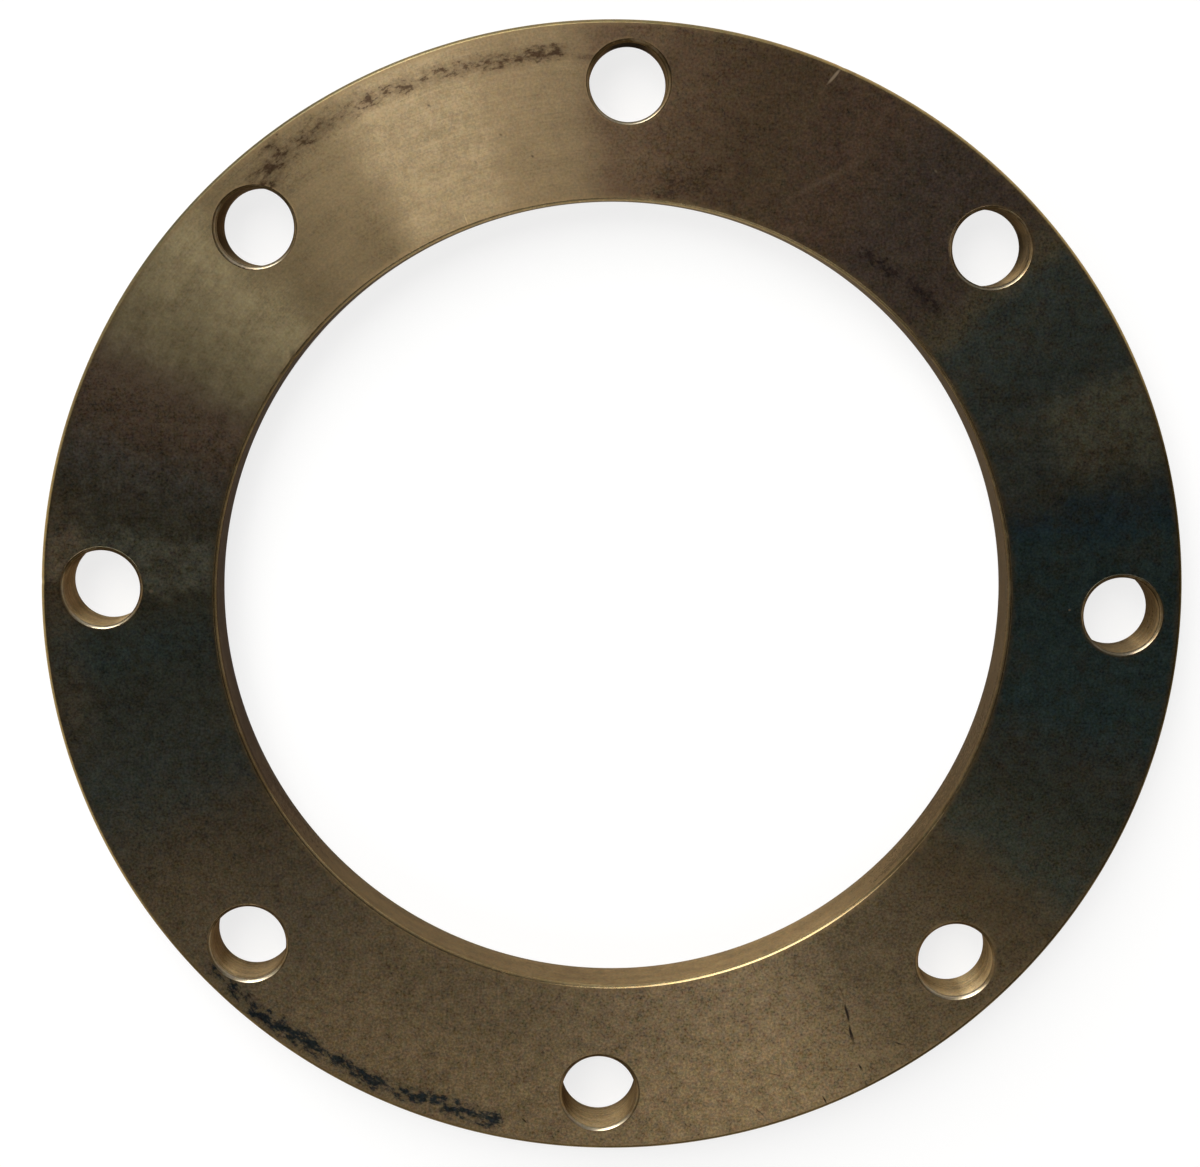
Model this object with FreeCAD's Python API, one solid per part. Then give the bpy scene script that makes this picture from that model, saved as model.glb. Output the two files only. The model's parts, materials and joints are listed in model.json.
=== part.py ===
import FreeCAD, Part
import os
from math import cos, radians, sin

# Flat flange ring for a four-inch pipe, in millimetres.
# It lies on its back face. The origin is the centre of that face, on the pipe's axis, and
# +Z leaves through the front face, where a gasket and the neighbouring flange are bolted on.

# Bore, a slip fit over the end of the pipe that it is welded to
pipe_diameter = 114.3
pipe_clearance = 1.59
bore_chamfer = 0.45

# Widths of the face, from the bore's wall out to the bolt circle and from there to the rim
bore_to_bolts = 16.67
bolts_to_rim = 8.73

# Turned blank
thickness = 9.525
rim_chamfer = 0.35

# Bolt holes, the first one on +X
bolt_count = 8
bolt_diameter = 9.525
bolt_clearance = 1.59
hole_chamfer = 0.4

# How far the drill's form runs past each face
drill_overrun = 1.0

# Radii that follow from the sizes above: bore 57.945, bolt circle 74.615, rim 83.345
bore_radius = (pipe_diameter + pipe_clearance) / 2
bolt_circle_radius = bore_radius + bore_to_bolts
rim_radius = bolt_circle_radius + bolts_to_rim
hole_radius = (bolt_diameter + bolt_clearance) / 2

ORIGIN = FreeCAD.Vector(0, 0, 0)
PIPE_AXIS = FreeCAD.Vector(0, 0, 1)


def turned(section):
    """Revolve a closed section, given as (radius, height) points, round the pipe's axis."""
    corners = [FreeCAD.Vector(radius, 0, height) for radius, height in section]
    outline = Part.makePolygon(corners + corners[:1])
    return Part.Face(outline).revolve(ORIGIN, PIPE_AXIS, 360)


def turned_blank():
    """The plain ring as it leaves the lathe, with every corner of its section chamfered."""
    section = [
        (bore_radius + bore_chamfer, 0),
        (rim_radius - rim_chamfer, 0),
        (rim_radius, rim_chamfer),
        (rim_radius, thickness - rim_chamfer),
        (rim_radius - rim_chamfer, thickness),
        (bore_radius + bore_chamfer, thickness),
        (bore_radius, thickness - bore_chamfer),
        (bore_radius, bore_chamfer),
    ]
    return turned(section)


def drilled_hole():
    """What one bolt hole removes, on the pipe's axis: a bore that flares at both faces."""
    mouth_radius = hole_radius + hole_chamfer + drill_overrun
    section = [
        (0, -drill_overrun),
        (mouth_radius, -drill_overrun),
        (hole_radius, hole_chamfer),
        (hole_radius, thickness - hole_chamfer),
        (mouth_radius, thickness + drill_overrun),
        (0, thickness + drill_overrun),
    ]
    return turned(section)


def bolt_holes():
    """The drilled holes, evenly spaced on the bolt circle."""
    holes = []
    for index in range(bolt_count):
        angle = radians(360 * index / bolt_count)
        centre = FreeCAD.Vector(bolt_circle_radius * cos(angle), bolt_circle_radius * sin(angle), 0)
        hole = drilled_hole()
        hole.translate(centre)
        holes.append(hole)
    return holes


def flange_ring():
    """The whole flange, one turned and drilled solid."""
    return turned_blank().cut(bolt_holes())


def write(node, shape):
    """Write one sub-part to parts/ and report its size."""
    shape.exportStep("parts/" + node + ".step")
    print(node, "solids", len(shape.Solids), "valid", shape.isValid(), "mm3", round(shape.Volume, 1))


os.makedirs("parts", exist_ok=True)
write("flange_ring", flange_ring())
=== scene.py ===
"""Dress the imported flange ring: its turned steel skin with its wear, the studio and the camera.

The ring lies on its back face in the row frame, in metres, with +Z out of its front face and one
bolt hole on +X. A bearing is an angle in degrees about the pipe's axis, from +X towards +Y.
"""

import json
import logging
import math
from dataclasses import dataclass
from enum import Enum
from typing import Any, Callable, Mapping, Sequence

import bpy
import numpy as np
from mathutils import Matrix, Vector

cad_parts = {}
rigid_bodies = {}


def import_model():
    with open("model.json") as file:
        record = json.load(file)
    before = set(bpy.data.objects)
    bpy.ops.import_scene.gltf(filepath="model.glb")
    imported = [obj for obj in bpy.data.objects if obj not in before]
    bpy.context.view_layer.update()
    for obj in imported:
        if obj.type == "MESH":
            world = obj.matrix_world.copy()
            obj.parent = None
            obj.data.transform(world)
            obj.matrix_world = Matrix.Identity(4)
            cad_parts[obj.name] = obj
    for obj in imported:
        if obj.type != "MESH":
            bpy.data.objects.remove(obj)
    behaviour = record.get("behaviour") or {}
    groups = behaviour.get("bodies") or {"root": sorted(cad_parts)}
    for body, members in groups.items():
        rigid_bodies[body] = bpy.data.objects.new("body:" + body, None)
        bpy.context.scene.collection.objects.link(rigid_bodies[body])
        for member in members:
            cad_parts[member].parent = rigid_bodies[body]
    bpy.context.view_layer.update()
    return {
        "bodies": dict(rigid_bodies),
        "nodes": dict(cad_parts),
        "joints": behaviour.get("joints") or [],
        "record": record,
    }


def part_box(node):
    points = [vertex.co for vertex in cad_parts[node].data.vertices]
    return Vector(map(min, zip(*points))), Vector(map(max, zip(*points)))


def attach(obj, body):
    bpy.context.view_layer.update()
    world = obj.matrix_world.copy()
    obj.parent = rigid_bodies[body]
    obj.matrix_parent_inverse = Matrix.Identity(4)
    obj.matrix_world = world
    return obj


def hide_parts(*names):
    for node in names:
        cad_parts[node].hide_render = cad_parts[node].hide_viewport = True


LOG = logging.getLogger("flange_ring")
MM = 0.001
Colour = tuple[float, float, float]
Socket = bpy.types.NodeSocket
# What the input of a node can be given, and the outputs of a node by name
Value = Socket | float | tuple[float, ...]
Outputs = Mapping[str, Socket]
WHITE: Colour = (1.0, 1.0, 1.0)
WARM_WHITE: Colour = (1.0, 0.985, 0.96)
MEAN_NOISE = 0.5


class Skin(Enum):
    """The surfaces of the ring, numbered as its material slots."""

    FRONT = 0
    BACK = 1
    BORE = 2
    RIM = 3
    HOLES = 4
    BORE_EDGE = 5
    RIM_EDGE = 6
    HOLE_EDGE = 7


class Lay(Enum):
    """Which way the tool marks of a surface run."""

    FACED = "rings about the pipe's axis, across a flat face"
    BORED = "rings about the pipe's axis, along a round wall"
    DRILLED = "rings about the axis of each bolt hole"


class Edge(Enum):
    """The long edges of the front face."""

    BORE = "bore"
    RIM = "rim"


@dataclass(frozen=True)
class Nick:
    """A small dent in an edge of the front face.

    Attributes:
        edge: The edge that was struck.
        bearing: Where it lies, in degrees.
        reach: How far the dent spreads, in metres.
        depth: How deep it is, in metres.
    """

    edge: Edge
    bearing: float
    reach: float
    depth: float


@dataclass(frozen=True)
class Sector:
    """A sector of the ring, bounded by two soft radial sides.

    Attributes:
        start: Bearing at which it starts, in degrees.
        start_fade: Half of the stretch over which it fades in, in degrees.
        end: Bearing at which it ends, in degrees.
        end_fade: Half of the stretch over which it fades out, in degrees.
    """

    start: float
    start_fade: float
    end: float
    end_fade: float

    def mask(self, graph: "Graph", effects: "Effects", bearing: Value, wander: Value) -> Socket:
        """Mask the sector.

        Args:
            graph: Where the nodes go.
            effects: The shared effects.
            bearing: Bearing of the point, in degrees.
            wander: How far its sides stray there, in degrees.

        Returns:
            1 inside the sector and 0 outside.
        """
        sides = {"Start": self.start, "Start_Fade": self.start_fade}
        sides.update({"End": self.end, "End_Fade": self.end_fade})
        return graph.effect(effects.sector, Bearing=bearing, Wander=wander, **sides).outputs["Mask"]


@dataclass(frozen=True)
class TarnishAndShading(Sector):
    """A sector that tints the steel: tarnish and oil film on the faces, and painted light and shade on the
    front face, the bore, the chamfers and the holes.

    Attributes:
        tint: What it multiplies the steel's colour by.
        spared: Radius within which it doesn't show, in millimetres.
        spared_fade: Half of the width over which it fades in there, in millimetres.
        within: The sector of the ring that it keeps to, where it goes by a hole's own bearings.
    """

    tint: Colour
    spared: float = 0.0
    spared_fade: float = 3.0
    within: Sector | None = None


@dataclass(frozen=True)
class Smear:
    """A smudge drawn out along an arc of the face.

    Attributes:
        path: The arc's radius at its start and at its end, in millimetres.
        sector: The bearings that it covers.
        width: How far it reaches to either side, in millimetres.
        strength: How strongly it shows, from 0 to 1.
    """

    path: tuple[float, float]
    sector: Sector
    width: float
    strength: float

    def near(self, graph: "Graph", effects: "Effects", radius: Value, bearing: Value) -> Socket:
        """Mask the smear, thinning towards its sides and its ends.

        Args:
            graph: Where the nodes go.
            effects: The shared effects.
            radius: Distance of the point from the pipe's axis, in millimetres.
            bearing: Bearing of the point, in degrees.

        Returns:
            Its strength in the middle, and less away from it.
        """
        ends = {"From Min": self.sector.start, "From Max": self.sector.end}
        ends.update({"To Min": self.path[0], "To Max": self.path[1]})
        middle = graph.node("MapRange", {"Value": bearing, **ends}).outputs[0]
        across = graph.math("ABSOLUTE", graph.minus(radius, middle))
        close = graph.ramp(across, 0.0, self.width, self.strength, 0.0)
        return graph.times(close, self.sector.mask(graph, effects, bearing, 0.0))


@dataclass(frozen=True)
class Stain:
    """Smears left by the same thing.

    Attributes:
        smears: Where it was left.
        tint: What it multiplies the colour by.
        halo: How strongly it has spread into the steel between its flecks.
    """

    smears: tuple[Smear, ...]
    tint: Colour
    halo: float

    def near(self, graph: "Graph", effects: "Effects", radius: Value, bearing: Value) -> Socket:
        """Mask all the smears.

        Args:
            graph: Where the nodes go.
            effects: The shared effects.
            radius: Distance of the point from the pipe's axis, in millimetres.
            bearing: Bearing of the point, in degrees.

        Returns:
            The strongest of their masks.
        """
        total = 0.0
        for smear in self.smears:
            total = graph.math("MAXIMUM", total, smear.near(graph, effects, radius, bearing))
        return total


@dataclass(frozen=True)
class Mark:
    """A line on the front face along which something was left.

    Attributes:
        start: One end, in millimetres from the pipe's axis.
        end: The other end.
        width: How far it reaches from the line between them, in millimetres.
        strength: How strongly it shows, from 0 to 1.
    """

    start: tuple[float, float]
    end: tuple[float, float]
    width: float
    strength: float

    def near(self, graph: "Graph", effects: "Effects", flat: Socket) -> Socket:
        """Mask the mark, thinning towards its sides and its ends.

        Args:
            graph: Where the nodes go.
            effects: The shared effects.
            flat: Where the surface is, in millimetres, at height 0.

        Returns:
            Its strength in the middle, and less away from it.
        """
        run_x, run_y = self.end[0] - self.start[0], self.end[1] - self.start[1]
        centre = ((self.start[0] + self.end[0]) / 2, (self.start[1] + self.end[1]) / 2, 0.0)
        turn = (0.0, 0.0, math.atan2(run_y, run_x))
        reach = (math.hypot(run_x, run_y) / 2 + self.width, self.width, 1.0)
        place = {"Centre": centre, "Turn": turn, "Reach": reach}
        return graph.effect(effects.spot, Point=flat, Strength=self.strength, **place).outputs["Mask"]


@dataclass
class FlangeRing:
    """The ring itself: a turned blank with chamfered edges and a circle of drilled holes.

    Attributes:
        bore_radius: Radius of the bore's wall.
        bolt_circle_radius: Radius of the circle through the holes' axes.
        hole_radius: Radius of a bolt hole's wall.
        rim_radius: Radius of the outer wall.
        thickness: Height of the front face above the back face.
        hole_count: Number of bolt holes.
        bore_chamfer: Width of the bore's chamfers.
        rim_chamfer: Width of the rim's chamfers, which handling has rubbed wider.
        hole_chamfer: Mean width of the holes' chamfers.
        chamfer_softness: 1 is a flat chamfer, 2 a full round.
        arc_steps: Mesh steps along one sector's arc.
        side_steps: Mesh steps along one sector's straight side.
        face_steps: Mesh steps from a hole's mouth to the sector's outline.
        chamfer_steps: Mesh steps across a chamfer.
        wall_steps: Mesh steps along a straight wall.
        crease: Width of the mesh rows that keep the faces flat up to their edges, as a share.
        hole_lean: Where the first hole's chamfer is widest, in radians.
        hole_lean_step: How much further round it is widest at each next hole.
        hole_oval: How much wider it is there, as a share.
        hole_waves: How much it waves besides.
        nick_zone: How far round a nick the mesh is denser, in the nick's reaches.
        nick_density: How much denser it is there.
        nicks: The dents in the front edges.
    """

    bore_radius: float
    bolt_circle_radius: float
    hole_radius: float
    rim_radius: float
    thickness: float
    hole_count: int
    bore_chamfer: float = 0.45 * MM
    rim_chamfer: float = 0.46 * MM
    hole_chamfer: float = 0.48 * MM
    chamfer_softness: float = 1.3
    arc_steps: int = 84
    side_steps: int = 14
    face_steps: int = 10
    chamfer_steps: int = 5
    wall_steps: int = 5
    crease: float = 0.004
    hole_lean: float = 0.9
    hole_lean_step: float = 2.4
    hole_oval: float = 0.16
    hole_waves: float = 0.05
    nick_zone: float = 3.0
    nick_density: float = 3.0
    nicks: tuple[Nick, ...] = ()

    @classmethod
    def from_frame(cls, frame: dict[str, Any], **details: Any) -> "FlangeRing":
        """Take the ring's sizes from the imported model.

        Args:
            details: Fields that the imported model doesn't hold.

        Returns:
            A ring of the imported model's sizes.
        """
        mounts = {mount["name"]: mount["dims"] for mount in frame["record"]["mounts"]}
        low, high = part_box("flange_ring")
        return cls(
            bore_radius=mounts["bore"]["r_mm"] * MM,
            bolt_circle_radius=mounts["bolt_circle"]["pcd_mm"] / 2 * MM,
            hole_radius=mounts["bolt_circle"]["hole_r_mm"] * MM,
            rim_radius=max(high[0], -low[0]),
            thickness=high[2],
            hole_count=mounts["bolt_circle"]["count"],
            **details,
        )

    @property
    def sector(self) -> float:
        """The angle that one bolt hole has to itself, in radians."""
        return 2 * math.pi / self.hole_count

    def chamfer_profile(self) -> np.ndarray:
        """Trace a worn chamfer from the face to the wall.

        Returns:
            Rows of (distance along the face, distance down the wall), as shares of its width.
        """
        turn = np.linspace(math.pi / 2, 0, self.chamfer_steps + 1)
        power = 2 / self.chamfer_softness
        along_face = 1 - np.clip(np.cos(turn), 0, 1) ** power
        down_wall = 1 - np.clip(np.sin(turn), 0, 1) ** power
        return np.stack([along_face, down_wall], axis=1)

    def section(self, width: np.ndarray) -> list[tuple[np.ndarray, np.ndarray]]:
        """Trace a wall with its two chamfers, from the front face to the back face.

        Args:
            width: Chamfer width at each point round the wall.

        Returns:
            One (inset from the wall, height) pair of arrays for each row.
        """
        rows = [(width * along, self.thickness - width * down) for along, down in self.chamfer_profile()]
        for share in np.linspace(0, 1, self.wall_steps + 1)[1:-1]:
            top = self.thickness - width
            rows.append((width * 0, top + (width - top) * share))
        rows += [(width * along, width * down) for along, down in reversed(self.chamfer_profile())]
        return rows

    def bearings(self) -> np.ndarray:
        """Bearings of the points round the bore and the rim, denser at each nick, in radians.

        Returns:
            Points from half a sector before +X all the way round, with the last on the first.
        """
        fine_points = 4001
        fine = np.linspace(0, 1, fine_points)
        steps = []
        for number in range(self.hole_count):
            start = (number - 0.5) * self.sector
            bearing = start + fine * self.sector
            density = np.ones_like(fine)
            for nick in self.nicks:
                offset = np.angle(np.exp(1j * (bearing - math.radians(nick.bearing))))
                share = offset * self.rim_radius / (self.nick_zone * nick.reach)
                density += self.nick_density * np.exp(-(share ** 2))
            travel = np.concatenate([[0], np.cumsum(density[1:] + density[:-1])])
            even = np.linspace(0, travel[-1], self.arc_steps + 1)
            steps.append(np.interp(even, travel, bearing)[:-1])
        return np.concatenate(steps + [steps[0][:1]])

    def round_wall(self, radius: float, inset_sign: int, width: float) -> np.ndarray:
        """Build the grid of the bore's or the rim's wall with its chamfers.

        Args:
            radius: Radius of the wall.
            inset_sign: 1 where the metal lies outside the wall, -1 where it lies inside.
            width: Width of its chamfers.

        Returns:
            Points of shape (rows, columns, 3), with the last column on the first.
        """
        bearing = self.bearings()
        bearing[-1] = bearing[0]
        rows = []
        for inset, height in self.section(np.full(len(bearing), width)):
            reach = radius + inset_sign * inset
            rows.append(np.stack([reach * np.cos(bearing), reach * np.sin(bearing), height], axis=1))
        return np.array(rows)

    def hole_wall(self, number: int) -> np.ndarray:
        """Build the grid of one bolt hole's wall with its chamfers, which were cut by hand.

        Args:
            number: Which hole, counted from +X.

        Returns:
            Points of shape (rows, columns, 3), with the last column on the first.
        """
        turn = self.hole_turns()
        lean = self.hole_lean_step * number + self.hole_lean
        oval = self.hole_oval * np.cos(turn - lean)
        waves = self.hole_waves * np.cos(3 * turn + 5 * lean)
        width = self.hole_chamfer * (1 + oval + waves)
        centre = number * self.sector
        rows = []
        for inset, height in self.section(width):
            along = self.bolt_circle_radius + (self.hole_radius + inset) * np.cos(turn)
            beside = (self.hole_radius + inset) * np.sin(turn)
            x = along * math.cos(centre) - beside * math.sin(centre)
            y = along * math.sin(centre) + beside * math.cos(centre)
            rows.append(np.stack([x, y, height], axis=1))
        rows = np.array(rows)
        rows[:, -1] = rows[:, 0]
        return rows

    def hole_turns(self) -> np.ndarray:
        """Space the points round a hole's mouth so that each faces its point on the outline.

        Returns:
            Their angles from the outward direction, in radians, with the last a turn past the first.
        """
        corner_out = self.facing(self.rim_radius - self.rim_chamfer)
        corner_in = self.facing(self.bore_radius + self.bore_chamfer)
        stops = [-corner_out, corner_out, corner_in, 2 * math.pi - corner_in, 2 * math.pi - corner_out]
        counts = [self.arc_steps, self.side_steps, self.arc_steps, self.side_steps]
        turns = [np.linspace(a, b, n + 1)[:-1] for a, b, n in zip(stops, stops[1:], counts)]
        return np.concatenate(turns + [[stops[-1]]])

    def facing(self, radius: float) -> float:
        """Angle at a hole's axis from outward to its sector's corner at a radius, in radians."""
        half = self.sector / 2
        return math.atan2(radius * math.sin(half), radius * math.cos(half) - self.bolt_circle_radius)

    def face_sector(self, number: int, rim: np.ndarray, bore: np.ndarray, mouth: np.ndarray) -> np.ndarray:
        """Fill the face between one hole's mouth and the outline of its sector.

        Args:
            number: Which sector, counted from +X.
            rim: Points of the face's outer edge all the way round.
            bore: Points of the face's inner edge all the way round.
            mouth: Points of the hole's mouth.

        Returns:
            Points of shape (rows, columns, 3), from the mouth to the outline.
        """
        first = number * self.arc_steps
        last = first + self.arc_steps
        share = np.linspace(0, 1, self.side_steps + 1)[:, None]
        outer, inner = rim[first:last + 1], bore[first:last + 1]
        end_side = inner[-1] + (outer[-1] - inner[-1]) * share
        start_side = inner[0] + (outer[0] - inner[0]) * share
        outline = np.concatenate([outer[:-1], end_side[:0:-1], inner[:0:-1], start_side[:-1], outer[:1]])
        steps = (1 - np.cos(np.linspace(0, math.pi, self.face_steps + 1))) / 2
        steps = np.concatenate([[0, self.crease], steps[1:-1], [1 - self.crease]])
        return np.array([mouth + (outline - mouth) * step for step in steps] + [outline])

    def build(self) -> bpy.types.Object:
        """Build the ring's mesh with its dents, smooth shading and unrolled map.

        Returns:
            The ring's object, its faces numbered by surface for the material slots that dress adds.
        """
        skin = SkinBuilder(self)
        bore = self.round_wall(self.bore_radius, 1, self.bore_chamfer)
        rim = self.round_wall(self.rim_radius, -1, self.rim_chamfer)
        skin.add_wall(bore, Skin.BORE, Skin.BORE_EDGE)
        skin.add_wall(rim, Skin.RIM, Skin.RIM_EDGE)
        for number in range(self.hole_count):
            hole = self.hole_wall(number)
            skin.add_wall(hole, Skin.HOLES, Skin.HOLE_EDGE)
            skin.add_face(self.face_sector(number, rim[0], bore[0], hole[0]), Skin.FRONT, number)
            skin.add_face(self.face_sector(number, rim[-1], bore[-1], hole[-1]), Skin.BACK, number)
        return skin.finish("flange_ring_turned", self.dented)

    def dress(self, body: bpy.types.Object, finishes: dict[Skin, "SteelFinish"]) -> None:
        """Give every surface of the ring its material.

        Args:
            body: The ring's object.
            finishes: The finish of each surface.
        """
        effects = Effects(self)
        for skin in Skin:
            material = finishes[skin].build(effects)
            body.data.materials.append(material)
            LOG.info("%s: %s is %s", body.name, skin.name.lower(), material.name)

    def dented(self, points: np.ndarray) -> np.ndarray:
        """Push the points near each nick into the metal.

        Args:
            points: The ring's points.

        Returns:
            The points with the dents.
        """
        for nick in self.nicks:
            bearing = math.radians(nick.bearing)
            outward = np.array([math.cos(bearing), math.sin(bearing), 0])
            up = np.array([0, 0, 1])
            at_rim = nick.edge is Edge.RIM
            radius = self.rim_radius if at_rim else self.bore_radius
            middle = outward * radius + up * self.thickness
            # Slantwise into the corner, over about the length of 1
            inward = 0.7 * (-up + (-outward if at_rim else outward))
            distance = np.linalg.norm(points - middle, axis=1) / nick.reach
            points = points + inward * nick.depth * np.exp(-distance[:, None] ** 2)
        return points


class SkinBuilder:
    """Gathers grids of points into one closed mesh, with a surface number and a map.

    MAP_SIDE is the width of the map in metres, STRIP_GAP the room between two of its strips, and
    JOIN_DIGITS how many decimals of a metre two points share where they are joined.
    """

    MAP_NAME = "OFBake"
    MAP_SIDE = 0.25
    STRIP_GAP = 0.0015
    JOIN_DIGITS = 9

    def __init__(self, ring: FlangeRing) -> None:
        """Start an empty skin.

        Args:
            ring: The ring that the skin belongs to.
        """
        self.ring = ring
        self.points: list[np.ndarray] = []
        self.map_points: list[np.ndarray] = []
        self.quads: list[np.ndarray] = []
        self.slots: list[np.ndarray] = []
        self.count = 0
        self.corner = (self.STRIP_GAP, self.STRIP_GAP)
        self.row_top = self.STRIP_GAP

    def add_grid(self, grid: np.ndarray, place: np.ndarray, slots: np.ndarray) -> None:
        """Add a grid of quads.

        Args:
            grid: Points of shape (rows, columns, 3).
            place: Map coordinates in metres, of shape (rows, columns, 2).
            slots: Surface number of each row of quads.
        """
        rows, columns = grid.shape[:2]
        index = np.arange(rows * columns).reshape(rows, columns) + self.count
        quads = np.stack([index[:-1, :-1], index[:-1, 1:], index[1:, 1:], index[1:, :-1]], axis=-1)
        self.points.append(grid.reshape(-1, 3))
        self.map_points.append(place.reshape(-1, 2) / self.MAP_SIDE)
        self.quads.append(quads.reshape(-1, 4))
        self.slots.append(np.repeat(slots, columns - 1))
        self.count += rows * columns

    def add_wall(self, grid: np.ndarray, skin: Skin, edge: Skin) -> None:
        """Add a round wall whose first and last rows are its chamfers.

        Args:
            grid: Points of shape (rows, columns, 3), from the front face to the back face.
            skin: The surface between the chamfers.
            edge: The surface of the chamfers.
        """
        rows = len(grid) - 1
        slots = np.full(rows, edge.value)
        slots[self.ring.chamfer_steps:rows - self.ring.chamfer_steps] = skin.value
        step = np.linalg.norm(np.diff(grid, axis=0), axis=2).mean(axis=1)
        down = np.concatenate([[0], np.cumsum(step)])
        around = np.linalg.norm(np.diff(grid[rows // 2], axis=0), axis=1)
        along = np.concatenate([[0], np.cumsum(around)])
        pieces = 1 if skin is Skin.HOLES else self.ring.hole_count
        cuts = np.linspace(0, len(along) - 1, pieces + 1).astype(int)
        for first, last in zip(cuts, cuts[1:]):
            corner = self.next_strip(along[last] - along[first], down[-1])
            run = corner[0] + along[first:last + 1] - along[first]
            place = np.stack(np.meshgrid(run, corner[1] + down), axis=-1)
            self.add_grid(grid[:, first:last + 1], place, slots)

    def add_face(self, grid: np.ndarray, skin: Skin, number: int) -> None:
        """Add one sector of a flat face.

        Args:
            grid: Points of shape (rows, columns, 3), from the hole's mouth to the outline.
            skin: Which face.
            number: Which sector, counted from +X.
        """
        radius = np.hypot(grid[..., 0], grid[..., 1])
        turn = np.arctan2(grid[..., 1], grid[..., 0]) - number * self.ring.sector
        turn = np.angle(np.exp(1j * turn))
        along = turn * self.ring.bolt_circle_radius
        corner = self.next_strip(np.ptp(along), np.ptp(radius))
        place = np.stack([corner[0] + along - along.min(), corner[1] + radius - radius.min()], axis=-1)
        self.add_grid(grid, place, np.full(len(grid) - 1, skin.value))

    def next_strip(self, length: float, height: float) -> tuple[float, float]:
        """Find room for a strip on the map, in rows from the bottom.

        Args:
            length: Length of the strip, in metres.
            height: Height of the strip, in metres.

        Returns:
            The strip's lower left corner, in metres.
        """
        x, y = self.corner
        if x + length > self.MAP_SIDE:
            x, y = self.STRIP_GAP, self.row_top
        self.corner = (x + length + self.STRIP_GAP, y)
        self.row_top = max(self.row_top, y + height + self.STRIP_GAP)
        return x, y

    def finish(self, name: str, reshape: Callable[[np.ndarray], np.ndarray]) -> bpy.types.Object:
        """Join the grids where their edges meet and make the object.

        Args:
            name: Name of the object.
            reshape: Function that moves the joined points.

        Returns:
            The new object, linked to the scene.
        """
        points = np.concatenate(self.points)
        quads = np.concatenate(self.quads)
        rounded = np.round(points, self.JOIN_DIGITS)
        _, first, joined = np.unique(rounded, axis=0, return_index=True, return_inverse=True)
        mesh = bpy.data.meshes.new(name)
        mesh.from_pydata(reshape(points[first]).tolist(), [], joined.ravel()[quads].tolist())
        mesh.polygons.foreach_set("material_index", np.concatenate(self.slots).astype(np.int32))
        mesh.polygons.foreach_set("use_smooth", np.ones(len(quads), dtype=bool))
        layer = mesh.uv_layers.new(name=self.MAP_NAME)
        corners = np.concatenate(self.map_points)[quads.ravel()]
        layer.data.foreach_set("uv", corners.astype(np.float32).ravel())
        ring = bpy.data.objects.new(name, mesh)
        bpy.context.scene.collection.objects.link(ring)
        return ring


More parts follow.
